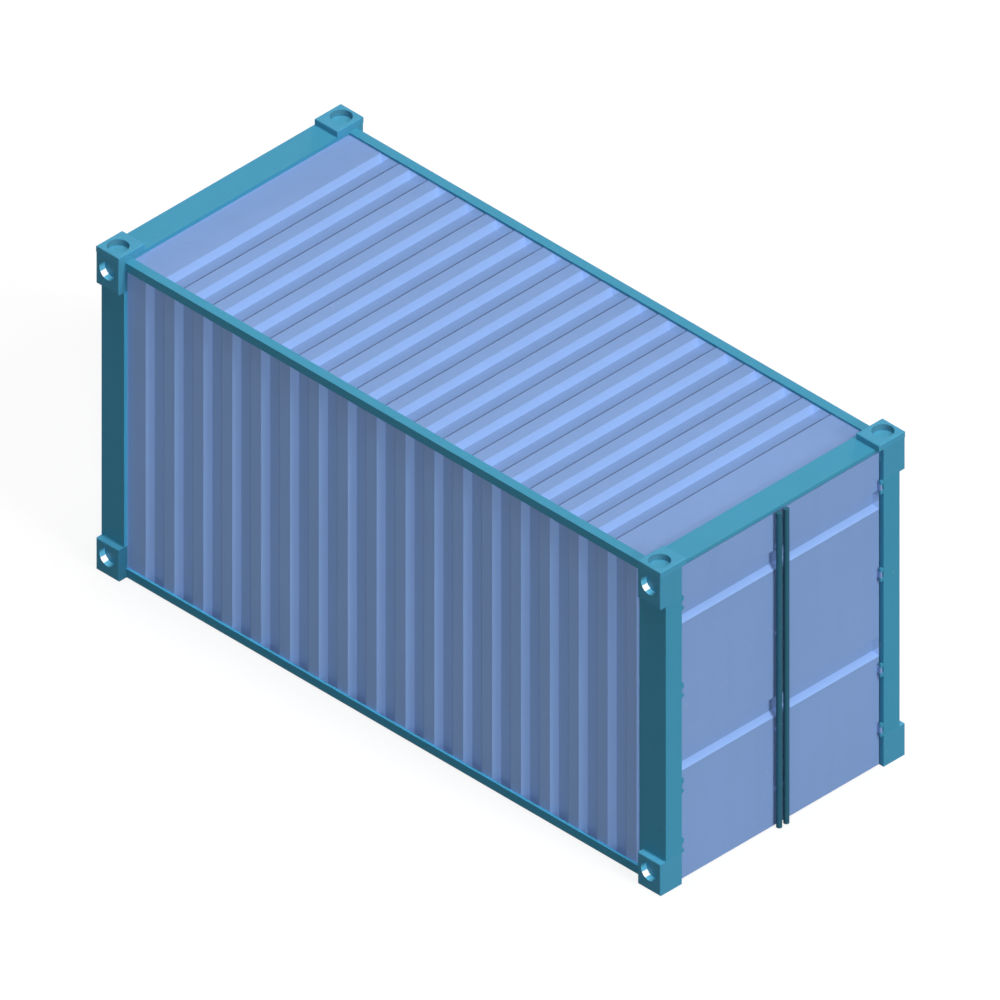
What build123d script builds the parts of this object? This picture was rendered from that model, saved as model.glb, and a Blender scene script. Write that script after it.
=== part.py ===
"""Steel shipping container with two hinged door leaves.

Millimetres, +Z up. The container is long in X with its doors at the +X end, and the
origin is the centre of its footprint on the ground. Left is the -Y side and right is
the +Y side, as seen by someone who stands outside and faces the doors.
"""

import os
from math import floor

from build123d import *

# Overall size, over the corner castings
length = 5820.0
width = 2525.0
height = 2896.0

# Corner castings
casting_length = 234.0
casting_height = 280.0
casting_proud = 57.0
cap_thickness = 53.0
cap_overhang = 48.0
casting_edge = 5.0
end_hole_radius = 84.0
side_hole_radius = 79.0
side_hole_depth = 53.0
side_hole_rise = 164.0

# Corner posts
post_width = 165.0
post_wall = 8.0
post_channel_depth = 38.0

# Side rails
top_rail_inset = 67.0
top_rail_width = 79.0
top_rail_height = 73.0
top_rail_drop = 69.5
rail_wall = 6.0
bottom_rail_height = 75.0
bottom_rail_leg = 20.6
rail_ground_gap = 9.0
rail_base = 8.0

# Pressed wall sheets, outer flats at depth 0 and waves with 45 degree sides
sheet = 2.0
sheet_clearance = 3.0
side_sheet_inset = 94.6
wave_pitch = 297.8
wave_depth = 46.0
wave_low_flat = 93.8
side_end_flat = 184.0
rear_sheet_setback = 38.0
rear_end_flat = 150.0

# Pressed roof sheet
roof_drop = 91.5
roof_end_flat = 322.0
roof_pitch = 297.0
roof_depth = 45.0
roof_rise_run = 51.0
roof_low_flat = 90.0

# Headers and sills
header_setback = 37.0
header_back_step = 30.0
header_lip = 31.0
header_height = 130.0
header_wall = 6.0
sill_wall = 6.0

# Floor
floor_top = 172.0
board_thickness = 28.0
board_count = 5
board_joint = 3.0
member_depth = 122.0
member_flange = 45.0
member_wall = 4.5
member_pitch = 310.0

# Door leaves
door_setback = 38.0
leaf_depth = 56.0
leaf_edge_gap = 10.0
leaf_top_gap = 9.0
leaf_ground_gap = 10.0
leaf_back_gap = 8.0
seam_gap = 16.0
door_sheet = 3.0
groove_depth = 41.0
groove_flat = 94.0
groove_shares = (0.3466, 0.8178)
stile_width = 80.0
seal_proud = 4.0
seam_seal_proud = 2.0

# Door hinges
hinge_axis_setback = 12.0
hinge_axis_gap = 17.0
knuckle_radius = 12.0
pin_radius = 7.0
pin_clearance = 0.05
pin_head_radius = 10.0
pin_head = 4.0
lug_height = 30.0
blade_height = 50.0
knuckle_gap = 1.0
fitting_drop = 108.0

# Lock rods
rod_radius = 23.0
rod_standoff = 38.5
rod_spacing = 74.0
rod_top_reach = 20.0
rod_bottom_reach = 3.0
rod_edge = 1.5
collar_wall = 9.0
collar_height = 30.0
collar_end_gap = 0.5
rod_clearance = 0.05
bracket_width = 18.0

# Places along X
front_reach = rod_standoff + rod_radius - door_setback
rear_x = -(length + front_reach) / 2
door_x = rear_x + length
post_back_x = door_x - casting_length - post_channel_depth
body_start_x = rear_x + casting_length
header_face_x = door_x - header_setback
header_back_x = door_x - casting_length - header_back_step
door_face_x = door_x - door_setback
leaf_back_x = door_face_x - leaf_depth
jamb_x = leaf_back_x - leaf_back_gap
rod_x = door_face_x + rod_standoff
hinge_x = door_x - hinge_axis_setback

# Places across Y, as distances from the middle plane
casting_width = casting_proud + post_width
outer_y = width / 2
post_inner_y = outer_y - casting_width
post_outer_y = outer_y - casting_proud
top_rail_outer_y = outer_y - top_rail_inset
top_rail_inner_y = top_rail_outer_y - top_rail_width
side_sheet_y = outer_y - side_sheet_inset
sheet_depth = wave_depth + sheet
bottom_rail_outer_y = side_sheet_y + bottom_rail_leg
bottom_rail_web_y = side_sheet_y - sheet_depth - sheet_clearance
bottom_rail_inner_y = bottom_rail_web_y - rail_wall
leaf_outer_y = post_inner_y - leaf_edge_gap
leaf_seam_y = seam_gap / 2
hinge_y = post_inner_y - hinge_axis_gap
rod_y = rod_spacing / 2

# Places up Z
cap_underside = height - cap_thickness
top_casting_z = cap_underside - casting_height
top_rail_top = height - top_rail_drop
top_rail_underside = top_rail_top - top_rail_height
roof_top = height - roof_drop
header_underside = cap_underside - header_height
lip_underside = cap_underside - header_lip
leaf_top = lip_underside - leaf_top_gap
leaf_bottom = leaf_ground_gap
rail_seat_z = rail_ground_gap + rail_base
rail_leg_top = rail_ground_gap + bottom_rail_height
member_top = floor_top - board_thickness
groove_opening = groove_flat + 2 * groove_depth
groove_heights = [leaf_bottom + share * (leaf_top - leaf_bottom) for share in groove_shares]
hinge_stack = 2 * lug_height + blade_height + 2 * knuckle_gap
journal_radius = rod_radius - collar_wall
journal_height = collar_height + 2 * collar_end_gap
rod_low = leaf_bottom - rod_bottom_reach
rod_high = leaf_top + rod_top_reach
fitting_heights = (
    casting_height + hinge_stack / 2,
    groove_heights[0] - fitting_drop,
    (groove_heights[0] + groove_opening + groove_heights[1]) / 2,
    top_casting_z - hinge_stack / 2,
)

sides = {"left": -1, "right": 1}
os.makedirs("parts", exist_ok=True)


def write(part, name):
    """Label a finished piece and write it as one STEP file."""
    part.label = name
    export_step(part, f"parts/{name}.step")


def wave_corners(start, end, first, pitch, count, depth, low_flat, fall_run, rise_run):
    """Corners (along, inward) of a pressed sheet that dips inward count times.

    A dip that has no room to rise again before the end stays at its depth there.
    """
    corners = [(start, 0)]
    for number in range(count):
        fall = first + number * pitch
        floor_end = fall + fall_run + low_flat
        corners += [(fall, 0), (fall + fall_run, depth)]
        if floor_end + rise_run < end:
            corners += [(floor_end, depth), (floor_end + rise_run, 0)]
    corners.append((end, corners[-1][1]))
    return corners


def casting(x_low, side, z_low, has_foot_socket):
    """Corner casting: a block with a round socket in its outer side, and one in the foot if asked."""
    middle_x = x_low + casting_length / 2
    middle_y = side * (outer_y - casting_width / 2)
    with BuildPart() as corner:
        with BuildSketch(Plane.XY.offset(z_low)):
            with Locations((middle_x, middle_y)):
                Rectangle(casting_length, casting_width)
        extrude(amount=casting_height)
        outer_face = corner.faces().sort_by(Axis.Y)[-1 if side > 0 else 0]
        chamfer(outer_face.edges(), length=casting_edge)
        if has_foot_socket:
            with Locations(Plane((middle_x, middle_y, z_low), z_dir=(0, 0, -1))):
                Hole(end_hole_radius, cap_thickness)
        socket_centre = (middle_x, side * outer_y, z_low + side_hole_rise)
        with Locations(Plane(socket_centre, z_dir=(0, side, 0))):
            Hole(side_hole_radius, side_hole_depth)
    return corner.part


def upright_tube(x_low, depth, side, z_low, z_high):
    """Square-cornered hollow post section that stands between two heights."""
    with BuildPart() as tube:
        with BuildSketch(Plane.XY.offset(z_low)):
            with Locations((x_low + depth / 2, side * (post_outer_y - post_width / 2))):
                Rectangle(depth, post_width)
                Rectangle(depth - 2 * post_wall, post_width - 2 * post_wall, mode=Mode.SUBTRACT)
        extrude(amount=z_high - z_low)
    return tube.part


def along_x(points, x_low, x_high, holes=()):
    """Run a closed (y, z) outline along X, less any hole outlines."""
    with BuildPart() as bar:
        with BuildSketch(Plane.YZ.offset(x_low)):
            with BuildLine():
                Polyline(*points, close=True)
            make_face()
            for hole in holes:
                with BuildLine():
                    Polyline(*hole, close=True)
                make_face(mode=Mode.SUBTRACT)
        extrude(amount=x_high - x_low)
    return bar.part


def along_y(points, y_low, y_high):
    """Run a closed (x, z) outline along Y."""
    with BuildPart() as bar:
        with BuildSketch(Plane.XZ.offset(-y_low)):
            with BuildLine():
                Polyline(*points, close=True)
            make_face()
        extrude(amount=y_low - y_high)
    return bar.part


def rectangle(low_a, high_a, low_b, high_b):
    """Corners of a rectangle between two pairs of limits."""
    return [(low_a, low_b), (high_a, low_b), (high_a, high_b), (low_a, high_b)]


def trough(outer, leg, web, inner, seat, leg_top, web_top):
    """Outline of a folded trough: a thick outer leg, a base and a tall inner web."""
    return [
        (outer, rail_ground_gap),
        (inner, rail_ground_gap),
        (inner, web_top),
        (web, web_top),
        (web, seat),
        (leg, seat),
        (leg, leg_top),
        (outer, leg_top),
    ]


# Corner castings, with a wider plate on each top one whose hole forms the lifting socket
for end, x_low in (("rear", rear_x), ("door", door_x - casting_length)):
    for side_name, side in sides.items():
        write(casting(x_low, side, 0, True), f"casting_{end}_{side_name}_bottom")
        write(casting(x_low, side, top_casting_z, False), f"casting_{end}_{side_name}_top")

cap_width = casting_width + cap_overhang
with BuildPart() as casting_caps:
    for x_low in (rear_x, door_x - casting_length):
        for side in sides.values():
            middle_x = x_low + casting_length / 2
            with BuildSketch(Plane.XY.offset(cap_underside)):
                with Locations((middle_x, side * (outer_y - cap_width / 2))):
                    Rectangle(casting_length, cap_width)
                with Locations((middle_x, side * (outer_y - casting_width / 2))):
                    Circle(end_hole_radius, mode=Mode.SUBTRACT)
            extrude(amount=cap_thickness)
    rims = casting_caps.edges().filter_by(GeomType.LINE).group_by(Axis.Z)[-1]
    chamfer(rims, length=casting_edge)
write(casting_caps.part, "casting_caps")

# Corner posts between the castings, and the channel behind each door post that runs to the ground
for side_name, side in sides.items():
    rear_post = upright_tube(rear_x, casting_length, side, casting_height, top_casting_z)
    write(rear_post, f"rear_post_{side_name}")
    door_post = upright_tube(
        door_x - casting_length, casting_length, side, casting_height, top_casting_z
    )
    write(door_post, f"door_post_{side_name}")

with BuildPart() as door_post_channels:
    with BuildSketch():
        channel_x = post_back_x + post_channel_depth / 2
        with Locations(*((channel_x, side * (post_outer_y - post_width / 2)) for side in (-1, 1))):
            Rectangle(post_channel_depth, post_width)
            Rectangle(post_channel_depth - 2 * post_wall, post_width - 2 * post_wall, mode=Mode.SUBTRACT)
    extrude(amount=top_rail_underside)
write(door_post_channels.part, "door_post_channels")

# Side rails
for side_name, side in sides.items():
    tube_outline = rectangle(
        side * top_rail_inner_y, side * top_rail_outer_y, top_rail_underside, top_rail_top
    )
    tube_hollow = rectangle(
        side * (top_rail_inner_y + rail_wall),
        side * (top_rail_outer_y - rail_wall),
        top_rail_underside + rail_wall,
        top_rail_top - rail_wall,
    )
    top_rail = along_x(tube_outline, body_start_x, door_x - casting_length, [tube_hollow])
    write(top_rail, f"top_rail_{side_name}")
    rail_outline = trough(
        side * bottom_rail_outer_y,
        side * side_sheet_y,
        side * bottom_rail_web_y,
        side * bottom_rail_inner_y,
        rail_seat_z,
        rail_leg_top,
        floor_top,
    )
    write(along_x(rail_outline, body_start_x, post_back_x), f"bottom_rail_{side_name}")

# Side sheets, which stand in the troughs of the bottom rails
side_room = post_back_x - body_start_x - side_end_flat - wave_depth
side_wave_count = floor(side_room / wave_pitch) + 1
for side_name, side in sides.items():
    corners = wave_corners(
        body_start_x,
        post_back_x,
        body_start_x + side_end_flat,
        wave_pitch,
        side_wave_count,
        wave_depth,
        wave_low_flat,
        wave_depth,
        wave_depth,
    )
    with BuildPart() as side_sheet:
        with BuildSketch(Plane.XY.offset(rail_seat_z)):
            with BuildLine() as fold:
                Polyline(*((x, side * (side_sheet_y - inward)) for x, inward in corners))
                offset(amount=sheet, side=Side.RIGHT if side > 0 else Side.LEFT)
            make_face()
        extrude(amount=top_rail_underside - rail_seat_z)
    write(side_sheet.part, f"side_sheet_{side_name}")

# Rear end: header tube, sill trough and the sheet between the rear posts
with BuildPart() as rear_header:
    with BuildSketch(Plane.XZ.offset(post_inner_y)):
        with Locations(((rear_x + body_start_x) / 2, (header_underside + cap_underside) / 2)):
            Rectangle(casting_length, header_height)
        offset(amount=-header_wall, kind=Kind.INTERSECTION, mode=Mode.SUBTRACT)
    extrude(amount=-2 * post_inner_y)
write(rear_header.part, "rear_header")
rear_sheet_x = rear_x + rear_sheet_setback
rear_web_x = rear_sheet_x + sheet_depth + sheet_clearance
rear_floor_x = rear_web_x + sill_wall
rear_sill_outline = trough(
    rear_x, rear_sheet_x, rear_web_x, rear_floor_x, rail_seat_z, rail_leg_top, floor_top
)
write(along_y(rear_sill_outline, -post_inner_y, post_inner_y), "rear_sill")

rear_wave_count = floor((2 * (post_inner_y - rear_end_flat)) / wave_pitch)
wave_high_flat = wave_pitch - wave_low_flat - 2 * wave_depth
rear_first_wave = -(rear_wave_count * wave_pitch - wave_high_flat) / 2
rear_corners = wave_corners(
    -post_inner_y,
    post_inner_y,
    rear_first_wave,
    wave_pitch,
    rear_wave_count,
    wave_depth,
    wave_low_flat,
    wave_depth,
    wave_depth,
)
with BuildPart() as rear_sheet:
    with BuildSketch(Plane.XY.offset(rail_seat_z)):
        with BuildLine():
            Polyline(*((rear_sheet_x + inward, y) for y, inward in rear_corners))
            offset(amount=sheet, side=Side.RIGHT)
        make_face()
    extrude(amount=header_underside - rail_seat_z)
write(rear_sheet.part, "rear_sheet")

# Door end: header with a front lip over the leaves and a drop behind them, and the sill
with BuildPart() as door_header:
    with BuildSketch(Plane.XZ.offset(post_inner_y)):
        with BuildLine():
            Polyline(
                (header_back_x, cap_underside),
                (header_face_x, cap_underside),
                (header_face_x, lip_underside),
                (jamb_x, lip_underside),
                (jamb_x, header_underside),
                (header_back_x, header_underside),
                close=True,
            )
        make_face()
        offset(amount=-header_wall, kind=Kind.INTERSECTION, mode=Mode.SUBTRACT)
    extrude(amount=-2 * post_inner_y)
    # Ears that close the corners between the top rails, the roof sheet and the castings
    ear_width = top_rail_inner_y - post_inner_y
    with BuildSketch(Plane.XY.offset(top_rail_underside)):
        with Locations((header_back_x + header_back_step / 2, 0)):
            with GridLocations(0, top_rail_inner_y + post_inner_y, 1, 2):
                Rectangle(header_back_step, ear_width)
    extrude(amount=cap_underside - top_rail_underside)
write(door_header.part, "door_header")

door_sill = along_y(
    [
        (jamb_x, rail_ground_gap),
        (jamb_x, floor_top),
        (post_back_x, floor_top),
        (post_back_x, floor_top - sill_wall),
        (jamb_x - sill_wall, floor_top - sill_wall),
        (jamb_x - sill_wall, rail_ground_gap + sill_wall),
        (post_back_x, rail_ground_gap + sill_wall),
        (post_back_x, rail_ground_gap),
    ],
    -post_inner_y,
    post_inner_y,
)
write(door_sill, "door_sill")

# Roof sheet between the headers and the top rails
roof_dip = roof_depth + roof_low_flat + roof_rise_run
roof_room = header_back_x - body_start_x - roof_dip - 2 * roof_end_flat
roof_corners = wave_corners(
    body_start_x,
    header_back_x,
    body_start_x + roof_end_flat,
    roof_pitch,
    floor(roof_room / roof_pitch) + 1,
    roof_depth,
    roof_low_flat,
    roof_depth,
    roof_rise_run,
)
with BuildPart() as roof_sheet:
    with BuildSketch(Plane.XZ.offset(top_rail_inner_y)):
        with BuildLine():
            Polyline(*((x, roof_top - inward) for x, inward in roof_corners))
            offset(amount=sheet, side=Side.RIGHT)
        make_face()
    extrude(amount=-2 * top_rail_inner_y)
write(roof_sheet.part, "roof_sheet")

# Floor: folded cross members between the bottom rails, and the boards on them
member_room = post_back_x - body_start_x
member_count = floor(member_room / member_pitch)
member_step = member_room / member_count
with BuildPart() as cross_members:
    with BuildSketch(Plane.XZ.offset(bottom_rail_inner_y)):
        middle = (body_start_x + post_back_x) / 2
        with Locations((middle, member_top - member_depth / 2)):
            with GridLocations(member_step, 0, member_count, 1):
                Rectangle(member_flange, member_depth)
                with Locations((member_wall, 0)):
                    Rectangle(member_flange, member_depth - 2 * member_wall, mode=Mode.SUBTRACT)
    extrude(amount=-2 * bottom_rail_inner_y)
    # One more between the rear castings, under the rear board
    with BuildSketch(Plane.XZ.offset(post_inner_y)):
        with Locations(((rear_floor_x + body_start_x) / 2, member_top - member_depth / 2)):
            Rectangle(member_flange, member_depth)
            with Locations((member_wall, 0)):
                Rectangle(member_flange, member_depth - 2 * member_wall, mode=Mode.SUBTRACT)
    extrude(amount=-2 * post_inner_y)
write(cross_members.part, "cross_members")

board_length = (member_room - (board_count - 1) * board_joint) / board_count
with BuildPart() as floor_boards:
    with BuildSketch(Plane.XY.offset(member_top)):
        with Locations((middle, 0)):
            with GridLocations(board_length + board_joint, 0, board_count, 1):
                Rectangle(board_length, 2 * bottom_rail_inner_y)
        rear_board = body_start_x - board_joint - rear_floor_x
        with Locations((rear_floor_x + rear_board / 2, 0)):
            Rectangle(rear_board, 2 * post_inner_y)
    extrude(amount=board_thickness)
write(floor_boards.part, "floor_boards")


def knuckle_profile(side, web_end):
    """Plan outline of a hinge knuckle whose web runs from the pin to web_end."""
    Circle(knuckle_radius)
    with Locations(web_end[0]):
        Rectangle(*web_end[1])
    Circle(pin_radius + pin_clearance, mode=Mode.SUBTRACT)


# Hinges: two lugs on the post for each blade on the leaf, with one pin through the three
with BuildPart() as hinge_lugs:
    for side in sides.values():
        for level in fitting_heights:
            for lug_z in (level - hinge_stack / 2, level + hinge_stack / 2 - lug_height):
                with BuildSketch(Plane((hinge_x, side * hinge_y, lug_z))):
                    web_to_post = ((0, side * hinge_axis_gap / 2), (2 * knuckle_radius, hinge_axis_gap))
                    knuckle_profile(side, web_to_post)
                extrude(amount=lug_height)
write(hinge_lugs.part, "hinge_lugs")

with BuildPart() as hinge_pins:
    for side in sides.values():
        for level in fitting_heights:
            with BuildSketch(Plane((hinge_x, side * hinge_y, level - hinge_stack / 2))):
                Circle(pin_radius)
            extrude(amount=hinge_stack)
            with BuildSketch(Plane((hinge_x, side * hinge_y, level + hinge_stack / 2))):
                Circle(pin_head_radius)
            extrude(amount=pin_head)
write(hinge_pins.part, "hinge_pins")

# Door leaf outlines in the X-Z plane: the pressed face sheet and the stile that backs it
face_corners = [(door_face_x, leaf_bottom)]
for low in groove_heights:
    face_corners += [
        (door_face_x, low),
        (door_face_x - groove_depth, low + groove_depth),
        (door_face_x - groove_depth, low + groove_depth + groove_flat),
        (door_face_x, low + groove_opening),
    ]
face_corners.append((door_face_x, leaf_top))
seal_depth = leaf_depth - groove_depth - door_sheet

for side_name, side in sides.items():
    leaf_low_y = min(side * leaf_seam_y, side * leaf_outer_y)
    leaf_high_y = max(side * leaf_seam_y, side * leaf_outer_y)
    leaf_width = leaf_high_y - leaf_low_y

    with BuildPart() as door_sheet_part:
        with BuildSketch(Plane.XZ.offset(-leaf_low_y)):
            with BuildLine():
                Polyline(*face_corners)
                offset(amount=door_sheet, side=Side.LEFT)
            make_face()
        extrude(amount=-leaf_width)
    write(door_sheet_part.part, f"door_{side_name}_sheet")

    # The stile is what is left of a deep bar behind the folded sheet
    with BuildPart() as stiles:
        for stile_low in (leaf_low_y, leaf_high_y - stile_width):
            with BuildSketch(Plane.XZ.offset(-stile_low)):
                with BuildLine():
                    back = [(leaf_back_x, leaf_top), (leaf_back_x, leaf_bottom)]
                    Polyline(*face_corners, *back, close=True)
                make_face()
                with BuildLine():
                    Polyline(*face_corners)
                    offset(amount=door_sheet, side=Side.LEFT)
                make_face(mode=Mode.SUBTRACT)
            extrude(amount=-stile_width)
    write(stiles.part, f"door_{side_name}_stiles")

    with BuildPart() as rails:
        rail_depth = leaf_depth - door_sheet
        with BuildSketch(Plane.YZ.offset(leaf_back_x)):
            for rail_z in (leaf_bottom + stile_width / 2, leaf_top - stile_width / 2):
                with Locations(((leaf_low_y + leaf_high_y) / 2, rail_z)):
                    Rectangle(leaf_width - 2 * stile_width, stile_width)
        extrude(amount=rail_depth)
    write(rails.part, f"door_{side_name}_rails")

    # The seal is a rubber frame round the back edge of the leaf
    hinge_side_y = side * (leaf_outer_y + seal_proud)
    seam_side_y = side * (leaf_seam_y - seam_seal_proud)
    seal_middle_y = (hinge_side_y + seam_side_y) / 2
    seal_width = abs(hinge_side_y - seam_side_y)
    seal_top = leaf_top + seal_proud
    with BuildPart() as seal:
        with BuildSketch(Plane.YZ.offset(leaf_back_x)):
            with Locations((seal_middle_y, (leaf_bottom + seal_top) / 2)):
                Rectangle(seal_width, seal_top - leaf_bottom)
            with Locations(((leaf_low_y + leaf_high_y) / 2, (leaf_bottom + leaf_top) / 2)):
                Rectangle(leaf_width, leaf_top - leaf_bottom, mode=Mode.SUBTRACT)
        extrude(amount=seal_depth)
    write(seal.part, f"door_{side_name}_seal")

    with BuildPart() as blades:
        web_depth = hinge_x - door_face_x
        for level in fitting_heights:
            with BuildSketch(Plane((hinge_x, side * hinge_y, level - blade_height / 2))):
                web_to_leaf = ((-web_depth / 2, 0), (web_depth, 2 * knuckle_radius))
                knuckle_profile(side, web_to_leaf)
            extrude(amount=blade_height)
    write(blades.part, f"door_{side_name}_hinge_blades")

    # Each collar wraps a turned journal of the rod, flush with the rod's own surface
    with BuildPart() as brackets:
        for level in fitting_heights:
            with BuildSketch(Plane((rod_x, side * rod_y, level - collar_height / 2))):
                Circle(rod_radius)
                with Locations((-rod_standoff / 2, 0)):
                    Rectangle(rod_standoff, bracket_width)
                Circle(journal_radius + rod_clearance, mode=Mode.SUBTRACT)
            extrude(amount=collar_height)
    write(brackets.part, f"door_{side_name}_rod_brackets")

    rod_profile = [(0, rod_low), (rod_radius, rod_low)]
    for level in fitting_heights:
        journal_low = level - journal_height / 2
        journal_high = level + journal_height / 2
        rod_profile += [(rod_radius, journal_low), (journal_radius, journal_low)]
        rod_profile += [(journal_radius, journal_high), (rod_radius, journal_high)]
    rod_profile += [(rod_radius, rod_high), (0, rod_high)]
    with BuildPart() as lock_rod:
        with BuildSketch(Plane((rod_x, side * rod_y, 0), x_dir=(1, 0, 0), z_dir=(0, -1, 0))):
            with BuildLine():
                Polyline(*rod_profile, close=True)
            make_face()
        revolve(axis=Axis((rod_x, side * rod_y, 0), (0, 0, 1)))
        rod_ends = lock_rod.edges().group_by(Axis.Z)
        chamfer(rod_ends[0] + rod_ends[-1], length=rod_edge)
    write(lock_rod.part, f"lock_rod_{side_name}")
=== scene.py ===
"""Dress the shipping container in paint, plywood, rubber and welds, and light it in a plain studio.

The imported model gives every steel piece, board and hinge. This script paints them, adds the weld
beads, floor screws, gasket lips and rivets that are too fine for the model, and sets up the floor,
the lamps and the camera. Lengths are metres: X runs towards the doors, Y to the right, Z up.
"""

import logging
import math
from dataclasses import dataclass, field, replace
from enum import Enum
from typing import Dict, List, Mapping, Optional, Sequence, Tuple, Union

import bpy
import numpy as np
from mathutils import Matrix, Vector


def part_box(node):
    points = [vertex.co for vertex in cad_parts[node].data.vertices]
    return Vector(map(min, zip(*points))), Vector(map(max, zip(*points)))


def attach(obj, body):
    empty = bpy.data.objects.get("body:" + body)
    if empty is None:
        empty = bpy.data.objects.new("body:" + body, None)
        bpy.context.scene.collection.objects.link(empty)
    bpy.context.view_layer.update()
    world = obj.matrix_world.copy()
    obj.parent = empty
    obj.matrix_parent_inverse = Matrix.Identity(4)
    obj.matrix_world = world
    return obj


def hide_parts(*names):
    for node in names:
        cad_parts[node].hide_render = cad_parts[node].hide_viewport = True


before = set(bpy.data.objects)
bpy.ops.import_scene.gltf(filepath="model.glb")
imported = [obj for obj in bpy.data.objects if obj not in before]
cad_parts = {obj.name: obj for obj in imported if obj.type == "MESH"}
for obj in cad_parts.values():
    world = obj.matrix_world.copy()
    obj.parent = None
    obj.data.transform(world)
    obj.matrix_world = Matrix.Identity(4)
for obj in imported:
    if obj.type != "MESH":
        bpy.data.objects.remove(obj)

log = logging.getLogger("container")

MM = 0.001
MEAN = 0.5  # what noise varies about
CLOSE = 0.1 * MM  # points this near a face lie on it
PLANE_REACH = 1 * MM  # how far a tone on a flat face reaches past it
WHOLE = 10.0  # longer than the container
WHITE = (1.0, 1.0, 1.0, 1.0)
BLACK = (0.0, 0.0, 0.0, 1.0)

Pair = Tuple[float, float]
Triple = Tuple[float, float, float]
Profile = Tuple[Pair, ...]
Value = Union["Wire", float]
Setting = Union[str, bool, float, Sequence]


class Side(Enum):
    """The two sides of the container, with the sign of Y on each."""

    LEFT = -1
    RIGHT = 1

    @property
    def word(self) -> str:
        """The side's name as the node names write it."""
        return self.name.lower()


class Axis(Enum):
    """A direction of the frame, as the index of its coordinate."""

    X = 0
    Y = 1
    Z = 2

    @property
    def unit(self) -> np.ndarray:
        """The unit vector along the axis."""
        return np.eye(3)[self.value]


class Slot(Enum):
    """The record's material slots that the new pieces belong to."""

    FRAME = "frame_paint"
    PANEL = "panel_paint"
    STEEL = "pin_steel"
    RUBBER = "door_rubber"


class Coat(Enum):
    """The container's paints, as screen colours. Some are lighter or darker copies of one paint,
    which stand in for light and shade.
    """

    FRAME = "#4296b6"
    CASTING = "#4797b8"
    CAP = "#4a9cbe"
    # Painted light and shade: the wells' floors are lighter than the caps' paint, against the shade
    # in the wells, and their walls darker and greyer, as painted shade.
    WELL_FLOOR = "#50a3c2"
    WELL_WALL = "#5091aa"
    # Painted light: the side and rear walls are a lighter copy of the doors' blue, which offsets
    # the shade on the walls.
    SIDE_WALL = "#9abef6"
    REAR_WALL = "#94b8ef"
    ROOF = "#7f9dcf"
    DOOR = "#83a3d6"
    # Painted light: the dips' end plates are a lighter copy of the roof's blue, so that they blend
    # with the flats.
    DIP_END = "#8aacdf"
    ROD = "#2f6579"


# Shader wiring


@dataclass(frozen=True)
class Pattern:
    """A cloudy pattern: features to a metre, octaves, and how much faster each axis changes it.

    With an edge, the pattern rises smoothly from 0 at the edge's first value to 1 at its second.
    """

    scale: float
    detail: float = 3.0
    stretch: Triple = (1.0, 1.0, 1.0)
    edge: Optional[Pair] = None


class Wire:
    """A shader value. An expression on wires and numbers adds the Math nodes that work it out."""

    def __init__(self, graph: "Graph", socket: bpy.types.NodeSocket) -> None:
        """Keep the graph and the output socket that carries the value."""
        self.graph = graph
        self.socket = socket

    def __add__(self, other: Value) -> "Wire":
        """Sum."""
        return self.graph.math("ADD", self, other)

    __radd__ = __add__

    def __sub__(self, other: Value) -> "Wire":
        """Difference."""
        return self.graph.math("SUBTRACT", self, other)

    def __rsub__(self, other: Value) -> "Wire":
        """Difference from a number."""
        return self.graph.math("SUBTRACT", other, self)

    def __mul__(self, other: Value) -> "Wire":
        """Product."""
        return self.graph.math("MULTIPLY", self, other)

    __rmul__ = __mul__

    def __truediv__(self, other: Value) -> "Wire":
        """Quotient."""
        return self.graph.math("DIVIDE", self, other)

    def __mod__(self, step: float) -> "Wire":
        """What is left above a whole number of steps."""
        return self.graph.math("FLOORED_MODULO", self, step)

    def __gt__(self, other: Value) -> "Wire":
        """One where this value is above the other, else zero."""
        return self.graph.math("GREATER_THAN", self, other)

    def __lt__(self, other: Value) -> "Wire":
        """One where this value is below the other, else zero."""
        return self.graph.math("LESS_THAN", self, other)

    def __abs__(self) -> "Wire":
        """Size without the sign."""
        return self.graph.math("ABSOLUTE", self)

    def ramp(self, low: float, high: float) -> "Wire":
        """Rise smoothly from 0 at low to 1 at high."""
        settings = {"interpolation_type": "SMOOTHSTEP"}
        return self.graph.node("ShaderNodeMapRange", settings, {0: self, 1: low, 2: high})

    def parts(self) -> Tuple["Wire", ...]:
        """The three numbers of a vector."""
        split = self.graph.node("ShaderNodeSeparateXYZ", {}, {0: self})
        return tuple(Wire(self.graph, socket) for socket in split.socket.node.outputs)

    def noise(self, pattern: Pattern) -> "Wire":
        """Lay a pattern over these coordinates.

        Args:
            pattern: the pattern.

        Returns:
            Values mostly between 0.3 and 0.7, or from 0 to 1 where the pattern has an edge.
        """
        node = self.graph.node
        scaled = node("ShaderNodeMapping", {}, {"Vector": self, "Scale": pattern.stretch})
        inputs = {"Vector": scaled, "Scale": pattern.scale, "Detail": pattern.detail}
        value = node("ShaderNodeTexNoise", {}, inputs)
        return value.ramp(*pattern.edge) if pattern.edge else value

    def bump(self, depth: float, strength: float, under: Optional["Wire"] = None) -> "Wire":
        """Bend the normal by this height.

        Args:
            depth: metres from a height of 0 to one of 1.
            strength: how much of the bend is taken.
            under: a normal that was bent before.

        Returns:
            The bent normal.
        """
        inputs = {"Strength": strength, "Distance": depth, "Height": self}
        if under is not None:
            inputs["Normal"] = under
        return self.graph.node("ShaderNodeBump", {}, inputs)


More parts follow.
